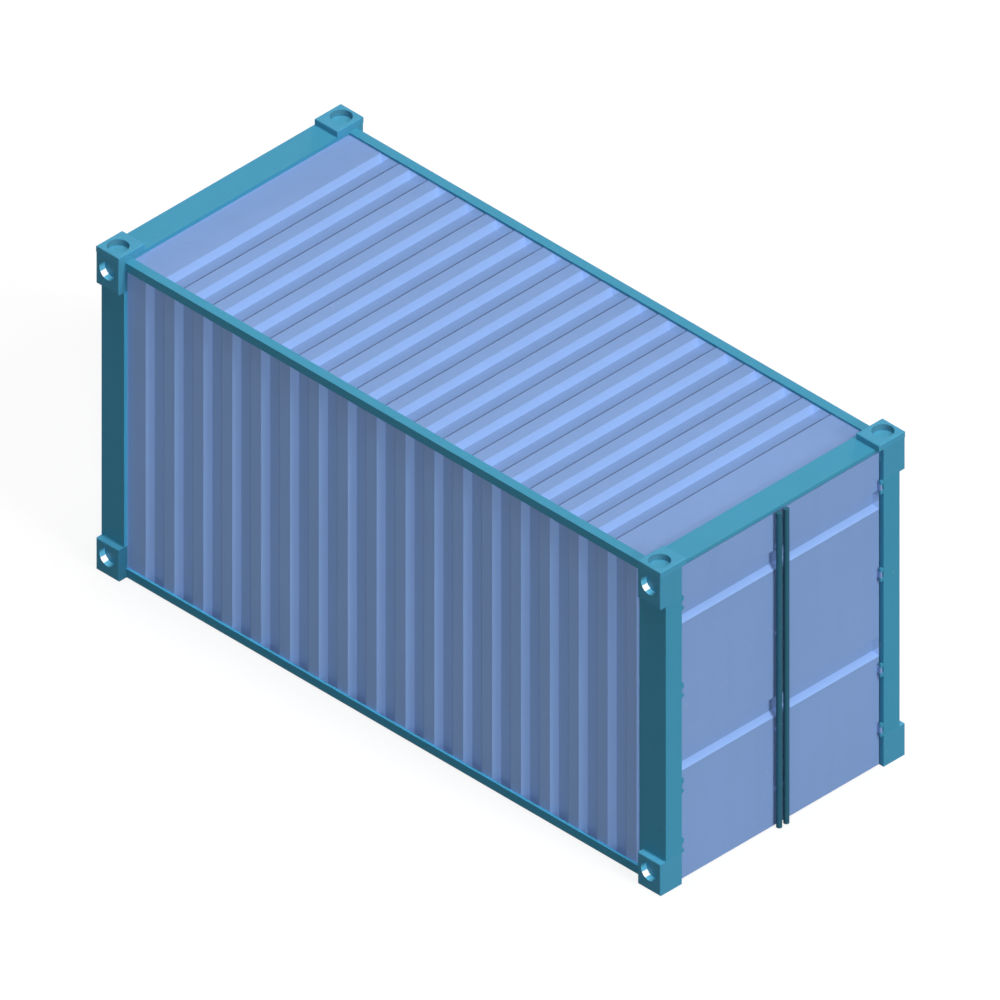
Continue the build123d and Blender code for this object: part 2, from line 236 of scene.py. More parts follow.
class Graph:
    """The node tree of one material or of the world."""

    def __init__(self, tree: bpy.types.NodeTree) -> None:
        """Take over a tree and clear it."""
        self.tree = tree
        tree.nodes.clear()

    @classmethod
    def of_material(cls, name: str) -> Tuple["Graph", bpy.types.Material]:
        """Make a material.

        Args:
            name: the material's name.

        Returns:
            The graph of its tree, and the material.
        """
        material = bpy.data.materials.new(name)
        material.use_nodes = True
        return cls(material.node_tree), material

    def node(
        self,
        kind: str,
        settings: Mapping[str, Setting],
        inputs: Mapping[Union[str, int], object],
        output: Union[str, int] = 0,
    ) -> Wire:
        """Add one node.

        Args:
            kind: the node's type.
            settings: its properties, all set before its sockets.
            inputs: values or wires, by socket name or number.
            output: the output socket that the returned wire carries.

        Returns:
            The wire of that output.
        """
        made = self.tree.nodes.new(kind)
        for key, value in settings.items():
            setattr(made, key, value)
        for key, value in inputs.items():
            if isinstance(value, Wire):
                self.tree.links.new(value.socket, made.inputs[key])
            else:
                made.inputs[key].default_value = value
        return Wire(self, made.outputs[output] if len(made.outputs) else None)

    def math(self, operation: str, first: Value, second: Value = 0.0) -> Wire:
        """Add one Math node."""
        return self.node("ShaderNodeMath", {"operation": operation}, {0: first, 1: second})

    def blend(self, factor: Value, first: object, second: object, mode: str = "MIX") -> Wire:
        """Mix two colours."""
        settings = {"data_type": "RGBA", "blend_type": mode}
        return self.node("ShaderNodeMix", settings, {0: factor, 6: first, 7: second}, 2)


def linear(code: str, gain: float = 1.0) -> Tuple[float, float, float, float]:
    """Turn a screen colour into the linear colour that a shader takes.

    Args:
        code: the colour as #rrggbb.
        gain: what its light is multiplied by.

    Returns:
        Red, green, blue and an alpha of 1.
    """
    channels = np.array([int(code[start : start + 2], 16) for start in (1, 3, 5)]) / 255
    light = np.where(channels <= 0.04045, channels / 12.92, ((channels + 0.055) / 1.055) ** 2.4)
    return (*(light * gain).tolist(), 1.0)


# Finishes


@dataclass(frozen=True)
class FoldTone:
    """Painted light or shade on repeated folds of a pressed sheet, which lie in bands across one
    axis: lighter where the gain is above one, darker below.
    """

    axis: Axis
    first: float
    pitch: float
    count: int
    width: float
    gain: float

    @classmethod
    def on_plane(cls, axis: Axis, place: float, gain: float, **more: float) -> "FoldTone":
        """Painted light or shade, by the gain, on the faces that lie across one axis at one place.
        """
        return cls(axis, place - PLANE_REACH, WHOLE, 1, 2 * PLANE_REACH, gain, **more)

    def mask(self, place: Wire) -> Wire:
        """Find the folds by the point's step past the first, modulo the pitch.

        Args:
            place: the coordinates.

        Returns:
            One on the folds and zero between them.
        """
        along = place.parts()[self.axis.value] - self.first
        on_fold = along % self.pitch < self.width
        return on_fold * (along > 0.0) * (along < self.pitch * self.count)


@dataclass(frozen=True)
class EndTone(FoldTone):
    """The painted light of a fold's fall, carried on across the plate at its end, where each band
    leans.

    Facing is the axis that the sheet faces, and surface is the place of its outer face.
    """

    facing: Axis = Axis.Z
    surface: float = 0.0

    def mask(self, place: Wire) -> Wire:
        """Find where the step past a fold's first edge plus the depth is below the width.

        Args:
            place: the coordinates.

        Returns:
            One there, else zero.
        """
        parts = place.parts()
        phase = (parts[self.axis.value] - self.first) % self.pitch
        return (phase + (self.surface - parts[self.facing.value])) < self.width


@dataclass(frozen=True)
class OuterTone(FoldTone):
    """Painted light or shade, by the gain, kept to the outside of the side walls."""

    wall_y: float = 0.0

    def mask(self, place: Wire) -> Wire:
        """The band's mask where the point is further out than the walls, else zero."""
        return super().mask(place) * (abs(place.parts()[Axis.Y.value]) > self.wall_y)


@dataclass(frozen=True)
class WellTone:
    """A colour painted into the round wells in the container's four top corners, which stands in
    for their light: lighter on the floors, darker on the walls.
    """

    middle_x: float
    reach: Pair
    radius: float
    low_z: float
    high_z: float
    coat: Coat

    def mask(self, place: Wire) -> Wire:
        """Find the wells, with the four corners folded onto one.

        Args:
            place: the coordinates.

        Returns:
            One within the radius of a well's centre and between the two heights, else zero.
        """
        x, y, z = place.parts()
        across = abs(x - self.middle_x) - self.reach[0]
        along = abs(y) - self.reach[1]
        distance = place.graph.math("SQRT", across * across + along * along)
        return (distance < self.radius) * (z > self.low_z) * (z < self.high_z)


@dataclass(frozen=True)
class Relief:
    """A pattern that stands out of a surface: its depth and how much of its bend is taken."""

    pattern: Pattern
    depth: float
    strength: float

    def normal(self, place: Wire, under: Optional[Wire] = None) -> Wire:
        """The normal that it bends, on top of one that was bent before."""
        return place.noise(self.pattern).bump(self.depth, self.strength, under)


@dataclass(frozen=True)
class Finish:
    """What a surface is made or painted of. Each kind works out what its shader takes."""

    name: str

    def inputs(self, place: Wire) -> Dict[str, object]:
        """What the shader takes, by the names of its sockets."""
        raise NotImplementedError

    def material(self) -> bpy.types.Material:
        """Build the material.

        Returns:
            The material, with one Principled shader.
        """
        graph, material = Graph.of_material(self.name)
        place = graph.node("ShaderNodeTexCoord", {}, {}, "Object")
        shader = graph.node("ShaderNodeBsdfPrincipled", {}, self.inputs(place))
        graph.node("ShaderNodeOutputMaterial", {}, {"Surface": shader})
        return material


@dataclass(frozen=True)
class PaintFinish(Finish):
    """Sprayed steel paint: a nearly even coat with fade, run marks, scuffs and orange peel, and any
    bands of painted light and shade and well colour that it is given.
    """

    coat: Coat
    # bands of painted light and shade on folds and faces, and a well colour of painted light and
    # shade
    folds: Tuple[FoldTone, ...] = ()
    well: Optional[WellTone] = None
    gloss: float = 0.14
    fade: float = 0.1
    fading: Pattern = Pattern(0.9, 4.0)
    runs: float = 0.06
    running: Pattern = Pattern(7.0, 3.0, (1.0, 1.0, 0.08))
    scuffs: float = 0.12
    scuff_colour: str = "#c9d3dc"
    scratches: Pattern = Pattern(38.0, 8.0, (1.0, 1.0, 0.35), (0.62, 0.72))
    patches: Pattern = Pattern(3.0, 2.0, edge=(0.48, 0.66))
    roughness: float = 0.55
    scuff_roughness: float = 0.15
    haze: float = 0.12
    hazing: Pattern = Pattern(1.7)
    ground: Relief = Relief(Pattern(2.2, 1.0), 1.2 * MM, 0.5)
    peel: Relief = Relief(Pattern(240.0, 2.0), 0.25 * MM, 0.35)

    def inputs(self, place: Wire) -> Dict[str, object]:
        """Work out the coat over the dents or grain of the steel.

        Args:
            place: the coordinates.

        Returns:
            What the shader takes.
        """
        blend = place.graph.blend
        broad, runs = place.noise(self.fading) - MEAN, place.noise(self.running) - MEAN
        level = 1.0 + broad * self.fade + runs * self.runs
        # Painted light and shade: each band's gain, and the wells' colour.
        for fold in self.folds:
            level = level * (1.0 + fold.mask(place) * (fold.gain - 1.0))
        colour = linear(self.coat.value)
        if self.well is not None:
            colour = blend(self.well.mask(place), colour, linear(self.well.coat.value))
        painted = blend(1.0, colour, level, "MULTIPLY")
        marks = place.noise(self.scratches) * place.noise(self.patches)
        rough = self.roughness + marks * self.scuff_roughness
        if self.haze:
            rough = rough + (place.noise(self.hazing) - MEAN) * self.haze
        return {
            "Base Color": blend(marks * self.scuffs, painted, linear(self.scuff_colour)),
            "Roughness": rough,
            "Specular IOR Level": self.gloss,
            "Normal": self.peel.normal(place, self.ground.normal(place)),
        }


@dataclass(frozen=True)
class SocketWear:
    """Where a casting's side sockets get a painted highlight: their centres, folded about the
    middle.
    """

    middle_x: float
    reach_x: float
    low_z: float
    high_z: float
    radius: float
    floor_y: float
    half_angle: float = math.radians(100)
    heading: float = math.radians(-135)
    near: float = 2 * MM

    def mask(self, place: Wire) -> Wire:
        """Find the highlighted arc: the angle at a socket's centre from the heading to the point.

        Args:
            place: the coordinates.

        Returns:
            A rise to one along the arc of each socket's wall, below and behind its centre.
        """
        compute = place.graph.math
        x, y, z = place.parts()
        from_middle = x - self.middle_x
        across = from_middle - compute("SIGN", from_middle) * self.reach_x
        upper = z > (self.low_z + self.high_z) / 2
        rise = z - (self.low_z + upper * (self.high_z - self.low_z))
        ray = compute("ARCTAN2", rise, across) - self.heading
        turn = compute("ARCCOSINE", compute("COSINE", ray))
        distance = compute("SQRT", across * across + rise * rise)
        on_wall = abs(distance - self.radius) < self.near
        return turn.ramp(self.half_angle, 0.0) * on_wall * (abs(y) > self.floor_y)


@dataclass(frozen=True)
class CastingFinish(PaintFinish):
    """Paint over cast steel, with a painted highlight on the side sockets' walls that glows."""

    haze: float = 0.0
    ground: Relief = Relief(Pattern(55.0, 4.0), 0.8 * MM, 0.3)
    wear: Optional[SocketWear] = None
    bright: str = "#6fd0f2"
    bare: str = "#ffffff"
    shine: float = 0.45
    glint: float = 0.75
    polish_edge: Pair = (0.1, 0.8)
    bare_edge: Pair = (0.915, 0.93)
    smoothing: float = 0.2

    def inputs(self, place: Wire) -> Dict[str, object]:
        """Work out the coat, and the painted highlight on the sockets' walls.

        Args:
            place: the coordinates.

        Returns:
            What the shader takes.
        """
        blend = place.graph.blend
        inputs = super().inputs(place)
        # Painted highlight on the sockets' walls: a cyan sheen along the arc and a white spot in
        # its middle, both made to glow by emission.
        highlight_arc = self.wear.mask(place)
        sheen_mask, bare = highlight_arc.ramp(*self.polish_edge), highlight_arc.ramp(*self.bare_edge)
        sheened = blend(sheen_mask, inputs["Base Color"], linear(self.bright))
        sheen_glow_colour = blend(sheen_mask, BLACK, linear(self.bright, self.shine))
        inputs["Base Color"] = blend(bare, sheened, linear(self.bare))
        inputs["Emission Color"] = blend(bare, sheen_glow_colour, linear(self.bare))
        inputs["Emission Strength"] = self.glint
        inputs["Roughness"] = inputs["Roughness"] - bare * self.smoothing
        return inputs


@dataclass(frozen=True)
class MaskedFinish(PaintFinish):
    """Paint that changes colour at a plane, as where a bracket was masked to spray its rod."""

    haze: float = 0.0
    beyond: Coat = Coat.ROD
    line_x: float = 0.0

    def inputs(self, place: Wire) -> Dict[str, object]:
        """Work out the coat, with the second colour beyond the line.

        Args:
            place: the coordinates.

        Returns:
            What the shader takes.
        """
        inputs = super().inputs(place)
        beyond = place.parts()[Axis.X.value] > self.line_x
        second = linear(self.beyond.value)
        inputs["Base Color"] = place.graph.blend(beyond, inputs["Base Color"], second)
        return inputs


@dataclass(frozen=True)
class PlywoodFinish(Finish):
    """Varnished plywood: boards of differing tone, long grain and grey forklift scuffs."""

    start: float
    pitch: float
    pale: str = "#c0925f"
    dark: str = "#7d5532"
    grain: Pattern = Pattern(70.0, 5.0, (0.04, 1.0, 1.0))
    figure: Pattern = Pattern(5.0, 4.0, (0.2, 1.0, 1.0))
    shares: Triple = (0.45, 0.45, 0.16)
    tone_edge: Pair = (0.36, 0.72)
    scuff: str = "#9a9187"
    scuffs: Pattern = Pattern(14.0, 6.0, (0.3, 1.0, 1.0), (0.58, 0.74))
    scuff_cover: float = 0.4
    roughness: float = 0.48
    scuff_roughness: float = 0.7
    grain_depth: float = 0.5 * MM
    grain_strength: float = 0.4

    def inputs(self, place: Wire) -> Dict[str, object]:
        """Work out the plywood. Each board takes its tone from its number along X.

        Args:
            place: the coordinates.

        Returns:
            What the shader takes.
        """
        graph = place.graph
        number = graph.math("FLOOR", (place.parts()[Axis.X.value] - self.start) / self.pitch)
        board = graph.node("ShaderNodeTexWhiteNoise", {"noise_dimensions": "1D"}, {"W": number})
        grain, figure = place.noise(self.grain), place.noise(self.figure)
        of_grain, of_figure, of_board = self.shares
        tone = (grain * of_grain + figure * of_figure + board * of_board).ramp(*self.tone_edge)
        wood = graph.blend(tone, linear(self.dark), linear(self.pale))
        scuffed = place.noise(self.scuffs) * self.scuff_cover
        return {
            "Base Color": graph.blend(scuffed, wood, linear(self.scuff)),
            "Roughness": self.roughness + scuffed * self.scuff_roughness,
            "Normal": grain.bump(self.grain_depth, self.grain_strength),
        }


@dataclass(frozen=True)
class CloudedFinish(Finish):
    """A plain surface that is clouded in patches, as by a dusty bloom or a dull patina."""

    clean: str
    clouded: str
    cloud: Pattern
    cover: float
    roughness: float
    cloud_roughness: float
    relief: Relief
    metallic: float = 0.0

    def inputs(self, place: Wire) -> Dict[str, object]:
        """Work out the clouded surface.

        Args:
            place: the coordinates.

        Returns:
            What the shader takes.
        """
        cloud = place.noise(self.cloud) * self.cover
        return {
            "Base Color": place.graph.blend(cloud, linear(self.clean), linear(self.clouded)),
            "Metallic": self.metallic,
            "Roughness": self.roughness + cloud * self.cloud_roughness,
            "Normal": self.relief.normal(place),
        }


FRAME_PAINT = PaintFinish("frame_enamel", Coat.FRAME)
LEAF_PAINT = PaintFinish("leaf_frame_enamel", Coat.DOOR)
ROD_PAINT = PaintFinish("rod_enamel", Coat.ROD)
RUBBER = CloudedFinish(
    "gasket_rubber",
    clean="#1c1e20",
    clouded="#4a4d50",
    cloud=Pattern(12.0, 5.0, edge=(0.45, 0.75)),
    cover=0.5,
    roughness=0.72,
    cloud_roughness=0.3,
    relief=Relief(Pattern(420.0, 2.0), 0.2 * MM, 0.4),
)
PLATED_STEEL = CloudedFinish(
    "plated_steel",
    clean="#b9bdc0",
    clouded="#85898c",
    cloud=Pattern(60.0, 5.0, edge=(0.4, 0.65)),
    cover=1.0,
    roughness=0.34,
    cloud_roughness=0.2,
    relief=Relief(Pattern(900.0, 2.0, (0.2, 0.2, 1.0)), 0.1 * MM, 0.4),
    metallic=0.85,
)


# Surfaces worked out on grids


def path(x: object, y: object, z: object) -> np.ndarray:
    """Points from their coordinates, each a number for all the points or a row of numbers."""
    return np.stack(np.broadcast_arrays(x, y, z), axis=1).astype(float)


@dataclass
class Shape:
    """A mesh being worked out: its points, and its faces as lists of quads and triangles."""

    points: np.ndarray
    quads: np.ndarray
    triangles: np.ndarray

    @staticmethod
    def joined(shapes: Sequence["Shape"]) -> "Shape":
        """Put several shapes into one.

        Args:
            shapes: the shapes.

        Returns:
            One shape, in which each one's faces count on from the last one's points.
        """
        starts = np.cumsum([0] + [len(shape.points) for shape in shapes[:-1]])
        return Shape(
            np.concatenate([shape.points for shape in shapes]),
            np.concatenate([shape.quads + start for shape, start in zip(shapes, starts)]),
            np.concatenate([shape.triangles + start for shape, start in zip(shapes, starts)]),
        )


def ring_quads(rows: int, columns: int, closed: bool) -> np.ndarray:
    """Faces between rings of points that are numbered ring by ring.

    Args:
        rows: the number of rings.
        columns: points in each ring.
        closed: join the last ring to the first.

    Returns:
        Quads of point numbers: each cell's corner (i, j), (i + 1, j), (i + 1, j + 1), (i, j + 1).
    """
    row = np.arange(rows if closed else rows - 1)
    i, j = (part.ravel() for part in np.meshgrid(row, np.arange(columns), indexing="ij"))
    here, there = i * columns, (i + 1) % rows * columns
    next_j = (j + 1) % columns
    return np.stack([here + j, there + j, there + next_j, here + next_j], axis=1)


def tube(rings: np.ndarray, centres: np.ndarray) -> Shape:
    """A skin over rings of points, closed by a fan of triangles at both ends.

    It faces outwards where a step to the next ring, crossed with a step round the ring, does.

    Args:
        rings: points by ring, place in the ring and coordinate.
        centres: the fans' middle points.

    Returns:
        The closed shape.
    """
    rows, columns = rings.shape[:2]
    numbers = np.arange(rows * columns).reshape(rows, columns)
    following = np.roll(numbers, -1, axis=1)
    middle = np.full((2, columns), [[numbers.size], [numbers.size + 1]])
    first = np.stack([numbers[0], following[0], middle[0]], axis=1)
    last = np.stack([following[-1], numbers[-1], middle[1]], axis=1)
    points = np.vstack([rings.reshape(-1, 3), centres])
    return Shape(points, ring_quads(rows, columns, False), np.concatenate([first, last]))


def resampled(corners: np.ndarray, step: float, closed: bool) -> np.ndarray:
    """Points along straight runs: each coordinate is read off at even path lengths.

    A closed line gets an even number of points, so that what alternates along it also meets itself.

    Args:
        corners: the ends of the runs.
        step: the rough distance between points.
        closed: go back to the first corner.

    Returns:
        The points.
    """
    line = np.vstack([corners, corners[:1]]) if closed else corners
    runs = np.linalg.norm(np.diff(line, axis=0), axis=1)
    travelled = np.concatenate([[0.0], np.cumsum(runs)])
    count = 2 * max(int(round(travelled[-1] / step / 2)), 2)
    stations = np.linspace(0.0, travelled[-1], count + 1)
    stations = stations[:-1] if closed else stations
    return np.stack([np.interp(stations, travelled, line[:, axis]) for axis in range(3)], axis=1)


@dataclass(frozen=True)
class Seam:
    """One weld: the line that it follows, in a plane across one axis."""

    corners: np.ndarray
    across: Axis
    radius: float = 4.5 * MM
    closed: bool = False

    @classmethod
    def ring(
        cls, across: Axis, place: float, low: Pair, high: Pair, radius: float = 4.5 * MM
    ) -> "Seam":
        """A closed seam round the rectangle from low to high, at one place across an axis."""
        flat = np.array([low, (high[0], low[1]), high, (low[0], high[1])], float)
        return cls(np.insert(flat, across.value, place, axis=1), across, radius, True)


@dataclass(frozen=True)
class BeadMaker:
    """Turns seams into rippled weld beads."""

    step: float = 6 * MM
    sides: int = 6
    ripple: float = 0.13

    def bead(self, seam: Seam) -> Shape:
        """A round bead on the seam's line.

        Point (s, a) is line(s) + r(s) * (cos a * n(s) + sin a * b), where b is the axis across the
        line's plane, n is the tangent crossed with b, and r swells and shrinks from one step to
        the next by the ripple.

        Args:
            seam: the seam.

        Returns:
            The bead.
        """
        line = resampled(seam.corners, self.step, seam.closed)
        if seam.closed:
            tangent = np.roll(line, -1, axis=0) - np.roll(line, 1, axis=0)
        else:
            tangent = np.gradient(line, axis=0)
        tangent /= np.linalg.norm(tangent, axis=1, keepdims=True)
        across = seam.across.unit
        normal = np.cross(tangent, across)
        radius = seam.radius * (1 + self.ripple * np.cos(np.pi * np.arange(len(line))))
        angle = np.linspace(0, 2 * np.pi, self.sides, endpoint=False)[:, None]
        circle = np.cos(angle) * normal[:, None, :] + np.sin(angle) * across
        rings = line[:, None, :] + radius[:, None, None] * circle
        if not seam.closed:
            return tube(rings, line[[0, -1]])
        quads = ring_quads(len(line), self.sides, True)
        return Shape(rings.reshape(-1, 3), quads, np.zeros((0, 3), int))


def turned_heads(
    profile: Profile, places: np.ndarray, axis: Axis, sign: float = 1.0, sides: int = 10
) -> Shape:
    """The same turned head at many places.

    Point (k, a) is place + radius(k) * (cos a * u + sin a * v) + height(k) * w, where w is the
    axis times the sign and u, v span the plane across it. The profile starts and ends on the axis.

    Args:
        profile: (radius, height) pairs from the crown to the foot.
        places: the centre of each head's foot.
        axis: the direction that the heads point in.
        sign: 1 where they point along the axis, -1 against it.
        sides: points round each head.

    Returns:
        One shape that holds every head.
    """
    w = axis.unit * sign
    u = np.roll(axis.unit, 1)
    v = np.cross(w, u)
    angle = np.linspace(0, 2 * np.pi, sides, endpoint=False)[:, None]
    radii, heights = np.array(profile).T[..., None, None]
    rings = radii[1:-1] * (np.cos(angle) * u + np.sin(angle) * v) + heights[1:-1] * w
    head = tube(rings, (heights * w)[[0, -1], 0])
    start = (np.arange(len(places)) * len(head.points))[:, None, None]
    points = (places[:, None, :] + head.points).reshape(-1, 3)
    quads, triangles = (head.quads + start).reshape(-1, 4), (head.triangles + start).reshape(-1, 3)
    return Shape(points, quads, triangles)


@dataclass(frozen=True)
class Wave:
    """The folds of one pressed sheet, which dips inward again and again."""

    first: float
    pitch: float
    count: int
    depth: float
    low_flat: float
    rise_run: float
    dirt_line: float = 4.5 * MM

    @property
    def starts(self) -> np.ndarray:
        """Where each dip leaves the surface."""
        return self.first + self.pitch * np.arange(self.count)

    def corners(self, start: float, end: float) -> np.ndarray:
        """Corners of the sheet's outer surface.

        Each dip adds four corners: down, level, up, level. Those past the end are left out, and
        the last corner keeps the depth that the sheet has there.

        Args:
            start: where the sheet starts.
            end: where it ends.

        Returns:
            One row (along, inward) for each corner.
        """
        steps = np.cumsum([0.0, self.depth, self.low_flat, self.rise_run])
        along = (self.starts[:, None] + steps).ravel()
        inward = np.tile([0.0, self.depth, self.depth, 0.0], self.count)
        kept = (along > start) & (along < end)
        along, inward = along[kept], inward[kept]
        last = inward[-1] if len(inward) % 4 else 0.0
        return np.vstack([[start, 0.0], np.stack([along, inward], axis=1), [end, last]])

    def fall_tone(self, axis: Axis, gain: float) -> FoldTone:
        """Painted light for the slopes that fall inward."""
        return FoldTone(axis, self.first, self.pitch, self.count, self.depth, gain)

    def line_tone(self, axis: Axis, gain: float) -> FoldTone:
        """Painted shade along the crease where each rise ends."""
        start = self.first + self.depth + self.low_flat + self.rise_run - self.dirt_line
        return FoldTone(axis, start, self.pitch, self.count, 2 * self.dirt_line, gain)

    def end_tone(self, axis: Axis, gain: float, facing: Axis, surface: float) -> EndTone:
        """The falls' painted light, carried on across the plates at the dips' ends."""
        width = 2 * self.depth
        return EndTone(axis, self.first, self.pitch, self.count, width, gain, facing, surface)


@dataclass(frozen=True)
class DipEnds:
    """Sloping plates that close the open ends of pressed dips.

    Each is a wedge under the plane from the sheet's surface at the end of the dip to the dip's
    bottom a run further in. Its axes are the one that the folds cross, the one that the sheet
    faces and the one that the dips run along.
    """

    axes: Tuple[Axis, Axis, Axis]
    run: float
    sunk: float = 0.4 * MM

    def wedges(self, wave: Wave, surface: float, low_end: float, high_end: float) -> Shape:
        """Close every dip at both ends.

        Corner k is (start + span(k), surface - deep(k) * depth, end + way * step(k) * run), with
        all but the run a little larger so that the wedge beds into the sheet.

        Args:
            wave: the dips, each as deep as its fall is wide.
            surface: the sheet's outer surface.
            low_end: where the dips start.
            high_end: where they end.

        Returns:
            All the wedges as one shape.
        """
        depth = wave.depth + self.sunk
        bottom = depth + wave.low_flat
        top = bottom + wave.rise_run * depth / wave.depth
        span = np.array([0.0, depth, bottom, top, depth, bottom]) - self.sunk
        deep = np.array([0.0, 1.0, 1.0, 0.0, 1.0, 1.0])
        step = np.array([0.0, 0.0, 0.0, 0.0, 1.0, 1.0])
        quads = np.array([[0, 1, 2, 3], [0, 3, 5, 4], [1, 4, 5, 2]])
        triangles = np.array([[0, 4, 1], [3, 2, 5]])
        fold, face, along = (axis.unit for axis in self.axes)
        handed = np.linalg.det(np.stack([fold, face, along]))
        shapes = []
        for end, way in ((low_end, 1.0), (high_end, -1.0)):
            turn = -1 if handed * way > 0 else 1
            down = (surface - deep * depth)[:, None] * face
            across = down + (end + way * step * self.run)[:, None] * along
            for start in wave.starts:
                points = (start + span)[:, None] * fold + across
                shapes.append(Shape(points, quads[:, ::turn], triangles[:, ::turn]))
        return Shape.joined(shapes)


def add_object(name: str, data: bpy.types.ID) -> bpy.types.Object:
    """Put an object into the scene.

    Args:
        name: its name.
        data: its mesh, lamp or camera.

    Returns:
        The object.
    """
    made = bpy.data.objects.new(name, data)
    bpy.context.scene.collection.objects.link(made)
    return made


@dataclass
class Workshop:
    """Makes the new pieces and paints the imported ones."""

    beads: BeadMaker = BeadMaker()
    mixed: Dict[Finish, bpy.types.Material] = field(default_factory=dict)

    def material(self, finish: Finish) -> bpy.types.Material:
        """The finish's material, which is made when it is first asked for.

        Args:
            finish: the finish.

        Returns:
            The material that every piece with this finish shares.
        """
        if finish not in self.mixed:
            self.mixed[finish] = finish.material()
        return self.mixed[finish]

    def paint(self, nodes: Sequence[str], finish: Finish) -> None:
        """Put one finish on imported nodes.

        Args:
            nodes: the nodes' names.
            finish: the finish.
        """
        for name in nodes:
            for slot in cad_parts[name].material_slots:
                slot.material = self.material(finish)
        log.info("painted %s with %s", ", ".join(nodes), finish.name)

    def piece(
        self,
        name: str,
        shape: Shape,
        finish: Finish,
        slot: Slot,
        body: str = "container",
        smooth: bool = True,
    ) -> bpy.types.Object:
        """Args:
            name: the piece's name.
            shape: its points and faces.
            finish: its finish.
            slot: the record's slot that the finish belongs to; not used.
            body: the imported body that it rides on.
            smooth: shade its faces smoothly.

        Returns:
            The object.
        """
        mesh = bpy.data.meshes.new(name)
        corners = np.concatenate([shape.quads.ravel(), shape.triangles.ravel()]).astype(np.int32)
        sizes = np.repeat([4, 3], [len(shape.quads), len(shape.triangles)])
        starts = (np.cumsum(sizes) - sizes).astype(np.int32)
        mesh.vertices.add(len(shape.points))
        mesh.vertices.foreach_set("co", shape.points.astype(np.float32).ravel())
        mesh.loops.add(len(corners))
        mesh.loops.foreach_set("vertex_index", corners)
        mesh.polygons.add(len(sizes))
        mesh.polygons.foreach_set("loop_start", starts)
        mesh.polygons.foreach_set("use_smooth", np.full(len(sizes), smooth))
        mesh.update(calc_edges=True)
        mesh.validate()
        mesh.materials.append(self.material(finish))
        made = add_object(name, mesh)
        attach(made, body)
        log.info("made %s: %d faces, rides on %s", name, len(sizes), body)
        return made

    def welds(
        self, name: str, seams: Sequence[Seam], finish: Finish, slot: Slot, body: str = "container"
    ) -> None:
        """Make one piece of the beads on all the seams."""
        self.piece(name, Shape.joined([self.beads.bead(s) for s in seams]), finish, slot, body)


# The container's own places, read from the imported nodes


def node_points(name: str) -> np.ndarray:
    """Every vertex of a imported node."""
    return np.array([vertex.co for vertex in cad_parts[name].data.vertices])


def pairs(values: np.ndarray, digits: int = 5) -> np.ndarray:
    """The different values in order, two to a row, as where each of some like pieces lies."""
    return np.unique(np.round(values, digits)).reshape(-1, 2)


def on_both_sides(*nodes: str) -> List[str]:
    """Each node name with each side's word put in."""
    return [node.format(side.word) for node in nodes for side in Side]


@dataclass(frozen=True)
class Layout:
    """Faces of the container that several sub-assemblies share."""

    rear_x: float
    door_x: float
    body_x: float
    casting_x: float
    leaf_x: float
    rod_x: float
    outer_y: float
    inner_y: float
    post_y: float
    foot_z: float
    head_z: float
    cap_z: float

    @classmethod
    def measured(cls) -> "Layout":
        """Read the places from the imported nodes' boxes.

        Returns:
            The layout.
        """
        rear_low, rear_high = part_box("casting_rear_right_bottom")
        door_low, door_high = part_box("casting_door_right_bottom")
        top_low, top_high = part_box("casting_door_right_top")
        rod_low, rod_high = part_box("lock_rod_left")
        return cls(
            rear_x=rear_low.x,
            door_x=door_high.x,
            body_x=rear_high.x,
            casting_x=door_low.x,
            leaf_x=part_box("door_left_sheet")[1].x,
            rod_x=(rod_low.x + rod_high.x) / 2,
            outer_y=door_high.y,
            inner_y=door_low.y,
            post_y=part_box("door_post_right")[1].y,
            foot_z=door_high.z,
            head_z=top_low.z,
            cap_z=top_high.z,
        )

    @property
    def middle_x(self) -> float:
        """Halfway between the two ends."""
        return (self.rear_x + self.door_x) / 2

    @property
    def casting_reach(self) -> float:
        """How far the castings' centres are from the middle."""
        return (self.casting_x + self.door_x) / 2 - self.middle_x


